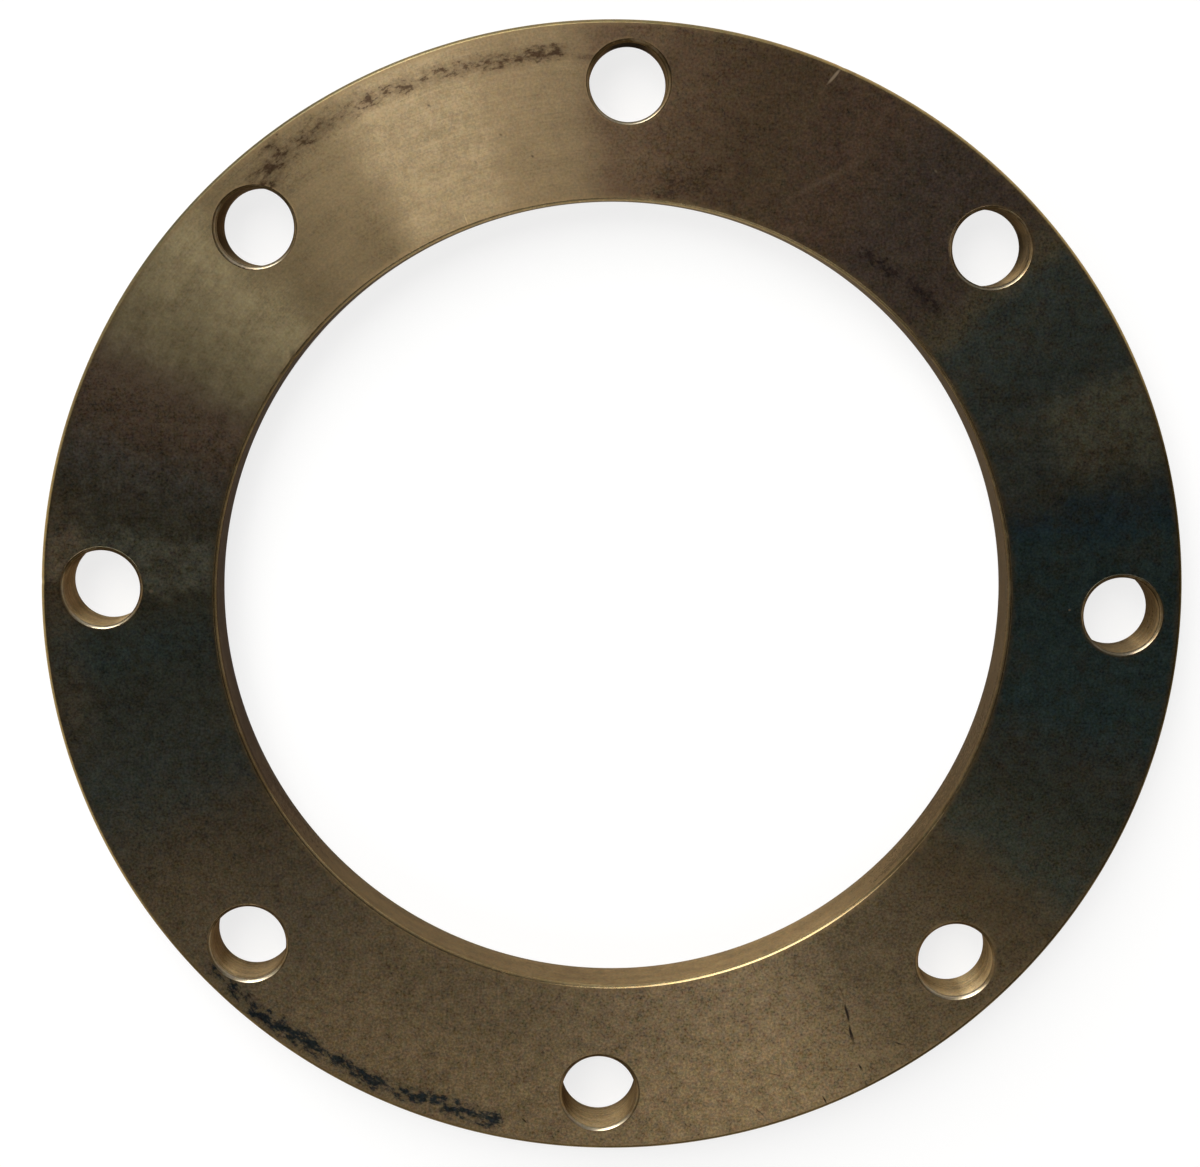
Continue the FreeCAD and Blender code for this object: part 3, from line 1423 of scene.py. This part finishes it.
@dataclass(frozen=True)
class PhotoCamera:
    """The camera at the photograph's angle.

    Attributes:
        aim: Point on the front face in the middle of the view, in millimetres.
        distance: From that point to the lens, in millimetres.
        tilt: Angle of the line of sight off the face's normal, in degrees.
        bearing: Which way the camera leans, in degrees.
        roll: How far its upright leans to -X, in degrees.
        lens: Focal length in millimetres.
        sensor: Width of the camera's sensor in millimetres.
        clip_start: Nearest distance that it sees, in metres.
    """

    aim: tuple[float, float, float]
    distance: float
    tilt: float
    bearing: float
    roll: float
    lens: float
    sensor: float = 36.0
    clip_start: float = 0.01

    def place(self) -> bpy.types.Object:
        """Set up the scene's camera.

        Returns:
            The camera.
        """
        tilt, bearing = math.radians(self.tilt), math.radians(self.bearing)
        flat = math.sin(tilt)
        back = Vector((flat * math.cos(bearing), flat * math.sin(bearing), math.cos(tilt)))
        north = Vector((0, 1, 0))
        upright = (north - back * north.dot(back)).normalized()
        right = upright.cross(back)
        roll = math.radians(self.roll)
        up = upright * math.cos(roll) - right * math.sin(roll)
        side = up.cross(back)
        where = (Vector(self.aim) + back * self.distance) * MM
        data = bpy.data.cameras.new("photo_camera")
        data.lens = self.lens
        data.sensor_width = self.sensor
        data.clip_start = self.clip_start
        camera = bpy.data.objects.new("photo_camera", data)
        camera.matrix_world = Matrix.Translation(where) @ Matrix((side, up, back)).transposed().to_4x4()
        bpy.context.scene.collection.objects.link(camera)
        bpy.context.scene.camera = camera
        return camera


@dataclass(frozen=True)
class Softbox:
    """A large square lamp that faces the ring.

    Attributes:
        name: Name of the lamp.
        bearing: Where it stands, in degrees.
        zenith: Its angle from straight overhead, in degrees.
        distance: How far from the ring, in metres.
        width: Its width, in metres.
        height: Its height, in metres.
        power: In watts.
        colour: Its colour.
    """

    name: str
    bearing: float
    zenith: float
    distance: float
    width: float
    height: float
    power: float
    colour: Colour = WARM_WHITE

    def hang(self) -> bpy.types.Object:
        """Hang the lamp.

        Returns:
            The lamp.
        """
        data = bpy.data.lights.new(self.name, "AREA")
        data.shape = "RECTANGLE"
        data.size = self.width
        data.size_y = self.height
        data.energy = self.power
        data.color = self.colour
        lamp = bpy.data.objects.new(self.name, data)
        bearing, zenith = math.radians(self.bearing), math.radians(self.zenith)
        flat = math.sin(zenith)
        away = Vector((flat * math.cos(bearing), flat * math.sin(bearing), math.cos(zenith)))
        side = Vector((0, 0, 1)).cross(away).normalized()
        upward = away.cross(side)
        turn = Matrix((side, upward, away)).transposed().to_4x4()
        lamp.matrix_world = Matrix.Translation(away * self.distance) @ turn
        bpy.context.scene.collection.objects.link(lamp)
        return lamp


@dataclass(frozen=True)
class Studio:
    """The floor, the room's soft light and the lamps.

    Attributes:
        softboxes: The lamps.
        floor_size: Width of the floor, in metres.
        floor_gap: How far it lies under the ring, in metres.
        floor_colour: Colour of the floor.
        floor_glow: How much paler the floor looks to the camera and in the steel.
        overhead: Brightness of the room straight overhead.
        horizon: Brightness of the room at eye level and below.
        overhead_share: Height of a direction, as a sine, from which the room is darkest.
    """

    softboxes: tuple[Softbox, ...]
    floor_size: float = 24.0
    floor_gap: float = 0.1 * MM
    floor_colour: Colour = (0.22, 0.22, 0.218)
    floor_glow: float = 0.79
    overhead: float = 0.06
    horizon: float = 0.95
    overhead_share: float = 0.5

    def build(self) -> None:
        """Light the room, lay the floor and hang the lamps."""
        self.light_room()
        self.lay_floor()
        for softbox in self.softboxes:
            softbox.hang()

    def light_room(self) -> None:
        """Make the room dim overhead and pale round the horizon, seen alike by every ray."""
        world = bpy.data.worlds.new("studio_room")
        world.use_nodes = True
        graph = Graph(world.node_tree)
        direction = graph.node("TexCoord").outputs["Generated"]
        height = graph.node("SeparateXYZ", {"Vector": direction}).outputs[2]
        level = graph.ramp(height, 0.0, self.overhead_share, self.horizon, self.overhead)
        background = world.node_tree.nodes["Background"]
        graph.put(background.inputs["Color"], WHITE)
        graph.put(background.inputs["Strength"], level)
        bpy.context.scene.world = world

    def lay_floor(self) -> None:
        """Lay a pale floor just under the ring, which vanishes when it is seen from below."""
        half = self.floor_size / 2
        corners = [(-half, -half, 0), (half, -half, 0), (half, half, 0), (-half, half, 0)]
        mesh = bpy.data.meshes.new("studio_floor")
        mesh.from_pydata(corners, [], [(0, 1, 2, 3)])
        floor = bpy.data.objects.new("studio_floor", mesh)
        floor.location.z = -self.floor_gap
        bpy.context.scene.collection.objects.link(floor)
        material = bpy.data.materials.new("studio_floor")
        material.use_nodes = True
        tree = material.node_tree
        tree.nodes.clear()
        graph = Graph(tree)
        paths = graph.node("LightPath").outputs
        seen = graph.math("MAXIMUM", paths["Is Camera Ray"], paths["Is Glossy Ray"])
        seen = graph.math("MAXIMUM", seen, paths["Is Transmission Ray"])
        matt = graph.node("BsdfDiffuse", {"Color": self.floor_colour}).outputs[0]
        strength = graph.times(seen, self.floor_glow)
        glow = graph.node("Emission", {"Color": WHITE, "Strength": strength}).outputs[0]
        top = graph.node("AddShader")
        graph.put(top.inputs[0], matt)
        graph.put(top.inputs[1], glow)
        below = graph.node("NewGeometry").outputs["Backfacing"]
        clear = graph.node("BsdfTransparent").outputs[0]
        choice = graph.node("MixShader", {"Fac": below})
        graph.put(choice.inputs[1], top.outputs[0])
        graph.put(choice.inputs[2], clear)
        graph.put(graph.node("OutputMaterial").inputs["Surface"], choice.outputs[0])
        mesh.materials.append(material)


def smear(start: float, end: float, path: tuple[float, float], width: float, strength: float) -> Smear:
    """Place a smear that thins out over its last two degrees, see Smear and Sector."""
    return Smear(path, Sector(start, 1.0, end, 1.0), width, strength)


def holes(first: float, last: float) -> Sector:
    """The part of the ring that holds the bolt holes from one bearing to another."""
    margin, fade = 20.0, 5.0
    return Sector(first - margin, fade, last + margin, fade)


# The sectors, smears, scratches and nicks lie where comparing renders with the photo put them, and
# so do their tints. The numbers of a sector are its start, how it fades in, its end and how it
# fades out. First the tinted sectors of the front face, roughly anticlockwise from the right-hand
# hole. They are partly tarnish and partly painted light and shade of the turned face's shine, darker and
# lighter sector by sector.
FRONT_TARNISH_AND_SHADING = (
    TarnishAndShading(-17.0, 6.0, 12.5, 3.5, tint=(0.46, 0.94, 1.55)),
    TarnishAndShading(-34.0, 4.0, -17.0, 6.0, tint=(0.47, 0.68, 0.9)),
    TarnishAndShading(10.5, 3.5, 40.0, 2.0, tint=(0.48, 0.76, 1.14)),
    TarnishAndShading(15.0, 3.5, 27.0, 2.5, tint=(1.3, 1.2, 1.15)),
    TarnishAndShading(16.5, 3.0, 26.0, 2.0, tint=(1.8, 1.6, 1.35), spared=68.0),
    TarnishAndShading(40.0, 1.5, 44.0, 2.0, tint=(0.95, 1.1, 1.15)),
    TarnishAndShading(44.0, 3.0, 59.0, 4.0, tint=(0.82, 0.92, 1.06)),
    TarnishAndShading(-62.0, 8.0, -34.0, 5.0, tint=(0.56, 0.57, 0.58)),
    TarnishAndShading(-156.0, 8.0, -40.0, 8.0, tint=(0.93, 0.93, 0.95)),
    TarnishAndShading(-156.0, 8.0, -40.0, 8.0, tint=(1.2, 1.18, 1.13), spared=70.0, spared_fade=8.0),
    TarnishAndShading(-160.0, 10.0, -126.0, 8.0, tint=(0.78, 0.82, 0.9)),
    TarnishAndShading(-176.0, 4.0, -152.0, 7.0, tint=(0.77, 1.1, 1.5)),
    TarnishAndShading(173.0, 1.5, 180.0, 1.5, tint=(1.75, 1.85, 2.05)),
    TarnishAndShading(172.0, 4.0, 196.0, 4.0, tint=(1.55, 1.25, 1.1), spared=78.0),
    TarnishAndShading(164.0, 3.0, 189.0, 4.0, tint=(0.9, 1.12, 1.3)),
    TarnishAndShading(154.0, 3.0, 170.0, 5.0, tint=(1.16, 1.12, 1.34)),
    TarnishAndShading(139.0, 4.0, 154.5, 2.5, tint=(1.5, 1.66, 1.68)),
    TarnishAndShading(121.0, 3.0, 139.0, 3.0, tint=(0.76, 0.77, 0.75)),
    TarnishAndShading(107.0, 4.0, 121.0, 3.0, tint=(1.35, 1.4, 1.45)),
    TarnishAndShading(95.0, 5.0, 128.0, 5.0, tint=(0.88, 0.87, 0.86)),
    TarnishAndShading(95.0, 5.0, 128.0, 5.0, tint=(1.13, 1.14, 1.16), spared=66.0, spared_fade=6.0),
    TarnishAndShading(70.0, 5.0, 94.5, 3.0, tint=(0.64, 0.57, 0.61)),
    TarnishAndShading(42.0, 3.0, 70.0, 4.0, tint=(0.77, 0.68, 0.8)),
)
FRONT_POLISH = Sector(90.0, 8.0, 157.0, 4.0)
# Painted shade: the bore's chamfers are darkened in the sectors where they catch little light.
BORE_EDGE_PAINTED_SHADE = (
    TarnishAndShading(-48.0, 8.0, 58.0, 24.0, tint=(0.29, 0.27, 0.26)),
    TarnishAndShading(132.0, 14.0, 216.0, 8.0, tint=(0.36, 0.33, 0.3)),
    TarnishAndShading(216.0, 8.0, 262.0, 8.0, tint=(0.75, 0.72, 0.7)),
)
# Painted shade: the rim's chamfers are darkened in the sectors where they catch little light.
RIM_EDGE_PAINTED_SHADE = (
    TarnishAndShading(-145.0, 8.0, 25.0, 10.0, tint=(0.25, 0.24, 0.22)),
    TarnishAndShading(-62.0, 8.0, 22.0, 8.0, tint=(0.4, 0.4, 0.4)),
    TarnishAndShading(78.0, 6.0, 150.0, 6.0, tint=(0.6, 0.66, 0.76)),
    TarnishAndShading(98.0, 6.0, 120.0, 6.0, tint=(0.85, 0.87, 0.92)),
    TarnishAndShading(120.0, 6.0, 164.0, 6.0, tint=(0.6, 0.63, 0.68)),
)
# Painted shade: the bore's wall is darkened about bearings 0 and 180, where it catches little light.
BORE_PAINTED_SHADE = (
    TarnishAndShading(-46.0, 14.0, 60.0, 20.0, tint=(0.57, 0.55, 0.52)),
    TarnishAndShading(130.0, 14.0, 222.0, 14.0, tint=(0.45, 0.4, 0.38)),
)
# In the holes, a bearing is taken from the hole's own axis. These tints are painted light and shade: a wall
# is darkened by the way it faces, and single holes are lightened or darkened further.
HOLE_PAINTED_LIGHT_AND_SHADE = (
    TarnishAndShading(-42.0, 18.0, 90.0, 40.0, tint=(0.5, 0.47, 0.43)),
    TarnishAndShading(60.0, 40.0, 222.0, 20.0, tint=(0.46, 0.41, 0.36)),
    TarnishAndShading(-150.0, 12.0, -60.0, 10.0, tint=(0.46, 0.47, 0.5), within=holes(0.0, 45.0)),
    TarnishAndShading(-25.0, 10.0, 25.0, 10.0, tint=(0.58, 0.62, 0.7), within=holes(45.0, 45.0)),
    TarnishAndShading(62.0, 14.0, 122.0, 14.0, tint=(0.25, 0.27, 0.32), within=holes(90.0, 90.0)),
    TarnishAndShading(-165.0, 10.0, 20.0, 10.0, tint=(0.56, 0.56, 0.57), within=holes(135.0, 135.0)),
    TarnishAndShading(148.0, 10.0, 212.0, 10.0, tint=(2.1, 2.2, 2.6), within=holes(180.0, 225.0)),
    TarnishAndShading(-72.0, 8.0, -25.0, 8.0, tint=(1.45, 1.5, 1.6), within=holes(180.0, 180.0)),
    TarnishAndShading(-108.0, 10.0, -30.0, 10.0, tint=(0.68, 0.68, 0.7), within=holes(225.0, 225.0)),
    TarnishAndShading(-72.0, 8.0, 70.0, 8.0, tint=(1.65, 1.7, 1.75), within=holes(-45.0, -45.0)),
)
# Painted shade: the holes' chamfers are darkened by the way they face, all round but where they catch the
# light.
HOLE_EDGE_PAINTED_SHADE = (
    TarnishAndShading(-42.0, 18.0, 222.0, 18.0, tint=(0.6, 0.49, 0.35)),
    TarnishAndShading(18.0, 22.0, 162.0, 22.0, tint=(0.25, 0.24, 0.22)),
    TarnishAndShading(-170.0, 10.0, -45.0, 10.0, tint=(0.5, 0.5, 0.5), within=holes(0.0, 45.0)),
)
BACK_TARNISH = (
    TarnishAndShading(-30.0, 14.0, 48.0, 9.0, tint=(0.62, 0.68, 0.78)),
    TarnishAndShading(84.0, 10.0, 121.0, 6.0, tint=(1.3, 1.25, 1.2)),
    TarnishAndShading(150.0, 8.0, 232.0, 16.0, tint=(0.76, 0.74, 0.72)),
    TarnishAndShading(232.0, 10.0, 300.0, 12.0, tint=(1.18, 1.16, 1.12)),
)
BACK_SCUFFS = (
    Mark((-52.0, 41.5), (-44.0, 49.0), width=0.3, strength=0.35),
    Mark((20.5, -66.0), (33.0, -60.5), width=0.26, strength=0.4),
    Mark((61.0, 22.0), (63.5, 30.5), width=0.24, strength=0.35),
)
# Oil at upper left, marker at lower left and dried coolant at upper right
STAINS = (
    Stain(
        smears=(
            smear(127.0, 133.0, path=(80.6, 77.6), width=4.2, strength=0.85),
            smear(118.0, 128.0, path=(79.9, 79.9), width=3.4, strength=0.62),
            smear(108.0, 119.0, path=(79.5, 80.0), width=2.8, strength=0.66),
            smear(100.5, 109.0, path=(78.9, 79.6), width=2.5, strength=0.74),
            smear(96.5, 101.0, path=(79.1, 79.3), width=2.0, strength=0.95),
            smear(92.5, 96.0, path=(78.0, 78.2), width=1.2, strength=0.5),
        ),
        tint=(0.32, 0.27, 0.28),
        halo=1.25,
    ),
    Stain(
        smears=(
            smear(-136.5, -130.0, path=(80.3, 81.4), width=2.7, strength=0.68),
            smear(-130.5, -126.5, path=(81.6, 81.2), width=2.4, strength=0.97),
            smear(-127.5, -121.5, path=(81.3, 80.6), width=2.6, strength=1.12),
            smear(-122.5, -115.5, path=(80.9, 80.7), width=2.2, strength=1.04),
            smear(-116.5, -108.0, path=(81.2, 80.6), width=2.3, strength=1.0),
            smear(-109.0, -100.5, path=(80.2, 80.6), width=2.6, strength=1.04),
        ),
        tint=(0.13, 0.22, 0.42),
        halo=0.8,
    ),
    Stain(
        smears=(
            smear(43.0, 50.0, path=(62.9, 63.2), width=1.8, strength=0.95),
            smear(50.0, 57.5, path=(62.6, 61.8), width=2.0, strength=1.0),
            smear(78.0, 86.0, path=(62.5, 60.0), width=4.5, strength=0.5),
        ),
        tint=(0.42, 0.4, 0.46),
        halo=1.0,
    ),
)
SCRATCHES = (
    Mark((35.2, -56.6), (36.5, -59.7), width=0.16, strength=0.5),
    Mark((36.4, -59.6), (37.3, -63.0), width=0.28, strength=0.95),
    Mark((37.3, -63.0), (38.0, -66.2), width=0.32, strength=1.0),
    Mark((39.1, -69.2), (39.5, -70.1), width=0.24, strength=0.7),
    Mark((39.9, -71.6), (40.4, -72.8), width=0.26, strength=0.8),
    Mark((23.6, -70.7), (27.9, -71.3), width=0.17, strength=0.6),
    Mark((28.4, -72.7), (29.0, -74.0), width=0.22, strength=0.75),
    Mark((33.8, -74.3), (34.4, -75.6), width=0.22, strength=0.7),
    Mark((23.6, -76.2), (25.0, -77.8), width=0.2, strength=0.7),
    Mark((43.8, -65.5), (45.8, -66.0), width=0.2, strength=0.6),
    Mark((-11.5, -78.9), (-10.6, -79.8), width=0.24, strength=0.6),
    Mark((-28.2, 70.6), (-28.0, 70.5), width=0.28, strength=0.4),
    Mark((-18.1, 66.9), (-17.8, 66.7), width=0.28, strength=0.4),
    Mark((-21.7, 62.9), (-21.5, 62.8), width=0.28, strength=0.4),
    Mark((-13.4, 63.9), (-13.2, 63.8), width=0.28, strength=0.4),
    Mark((-41.3, 72.2), (-41.1, 72.2), width=0.28, strength=0.4),
)
SCUFFS = (
    Mark((28.2, 75.1), (30.2, 77.6), width=0.3, strength=0.75),
    Mark((18.1, 56.1), (38.9, 67.5), width=0.75, strength=0.13),
    Mark((44.1, 63.5), (44.3, 63.3), width=0.25, strength=0.4),
    Mark((-67.4, -0.3), (-67.2, -0.3), width=0.35, strength=0.8),
    Mark((66.8, 0.7), (66.9, 0.7), width=0.25, strength=0.6),
    Mark((-81.9, 0.9), (-81.1, 0.9), width=0.3, strength=0.4),
)
NICKS = (
    Nick(Edge.BORE, bearing=144.1, reach=0.6 * MM, depth=0.16 * MM),
    Nick(Edge.BORE, bearing=147.2, reach=0.45 * MM, depth=0.12 * MM),
    Nick(Edge.BORE, bearing=11.1, reach=0.5 * MM, depth=0.14 * MM),
    Nick(Edge.RIM, bearing=68.6, reach=0.45 * MM, depth=0.14 * MM),
    Nick(Edge.RIM, bearing=179.5, reach=0.5 * MM, depth=0.12 * MM),
)


def ring_finishes() -> dict[Skin, SteelFinish]:
    """List the finish of every surface of the ring.

    Returns:
        The finishes by surface.
    """
    steel = (0.14, 0.102, 0.056)
    bored = (0.19, 0.13, 0.062)
    drilled = (0.36, 0.26, 0.135)
    filed = (0.27, 0.2, 0.1)
    countersunk = (0.5, 0.42, 0.29)
    rubbed = (0.33, 0.235, 0.1)
    wear = {"stains": STAINS, "scratches": SCRATCHES, "scuffs": SCUFFS}
    calm = {"grain_shade": 0.9, "cloud_shade": 0.7, "hue_shift": 0.3, "edge_tint": (0.2, 0.14, 0.08)}
    turned = {**calm, "metallic": 0.5, "gloss": 0.08, "mark_depth": 0.004, "mark_shade": 0.5}
    drill = {"mark_pitch": 0.5, "mark_length": 16.0, "mark_depth": 0.02, "mark_shade": 1.2}
    chamfer = {"anisotropy": 0.0, "grain_shade": 0.6, "grain_depth": 0.0005}
    chamfer.update({"cloud_shade": 0.7, "hue_shift": 0.3})
    return {
        Skin.FRONT: FaceFinish(
            "faced_front", Lay.FACED, steel, tarnish_and_shading=FRONT_TARNISH_AND_SHADING, polished=FRONT_POLISH, **wear
        ),
        Skin.BACK: FaceFinish(
            "faced_back", Lay.FACED, steel, tarnish_and_shading=BACK_TARNISH, scuffs=BACK_SCUFFS
        ),
        Skin.BORE: SteelFinish("bored_wall", Lay.BORED, bored, tarnish_and_shading=BORE_PAINTED_SHADE, **turned),
        Skin.RIM: SteelFinish("turned_rim", Lay.BORED, bored, **turned),
        Skin.HOLES: SteelFinish(
            "drilled_wall",
            Lay.DRILLED,
            drilled,
            metallic=0.35,
            gloss=0.0,
            roughness=0.55,
            anisotropy=0.0,
            tarnish_and_shading=HOLE_PAINTED_LIGHT_AND_SHADE,
            **calm,
            **drill,
        ),
        Skin.BORE_EDGE: SteelFinish(
            "bore_chamfer", Lay.BORED, filed, roughness=0.26, tarnish_and_shading=BORE_EDGE_PAINTED_SHADE, **chamfer
        ),
        Skin.RIM_EDGE: SteelFinish(
            "rim_chamfer", Lay.BORED, rubbed, roughness=0.38, tarnish_and_shading=RIM_EDGE_PAINTED_SHADE, **chamfer
        ),
        Skin.HOLE_EDGE: SteelFinish(
            "hole_chamfer", Lay.DRILLED, countersunk, roughness=0.3, tarnish_and_shading=HOLE_EDGE_PAINTED_SHADE, **chamfer
        ),
    }


def main() -> None:
    """Build the studio, the camera and the ring."""
    logging.basicConfig(level=logging.INFO, format="%(name)s: %(message)s")
    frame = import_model()
    scene = bpy.context.scene
    scene.view_settings.view_transform = "Standard"

    lamps = (
        Softbox("key_softbox", bearing=115.0, zenith=44.0, distance=1.1, width=0.6, height=1.15, power=16.0),
        Softbox("fill_softbox", bearing=247.0, zenith=43.0, distance=1.2, width=0.65, height=0.7, power=3.2),
        Softbox("strip_light", bearing=147.0, zenith=38.0, distance=1.1, width=0.2, height=0.8, power=1.5),
    )
    Studio(lamps).build()
    angles = {"tilt": 7.98, "bearing": 96.08, "roll": 1.65}
    PhotoCamera(aim=(-2.0, 2.7, 9.525), distance=356.07, lens=73.2, **angles).place()
    LOG.info("studio and camera are set")

    ring = FlangeRing.from_frame(frame, nicks=NICKS)
    body = ring.build()
    ring.dress(body, ring_finishes())
    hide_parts("flange_ring")
    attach(body, "root")
    LOG.info("%s: %d faces", body.name, len(body.data.polygons))


if __name__ == "__main__":
    main()
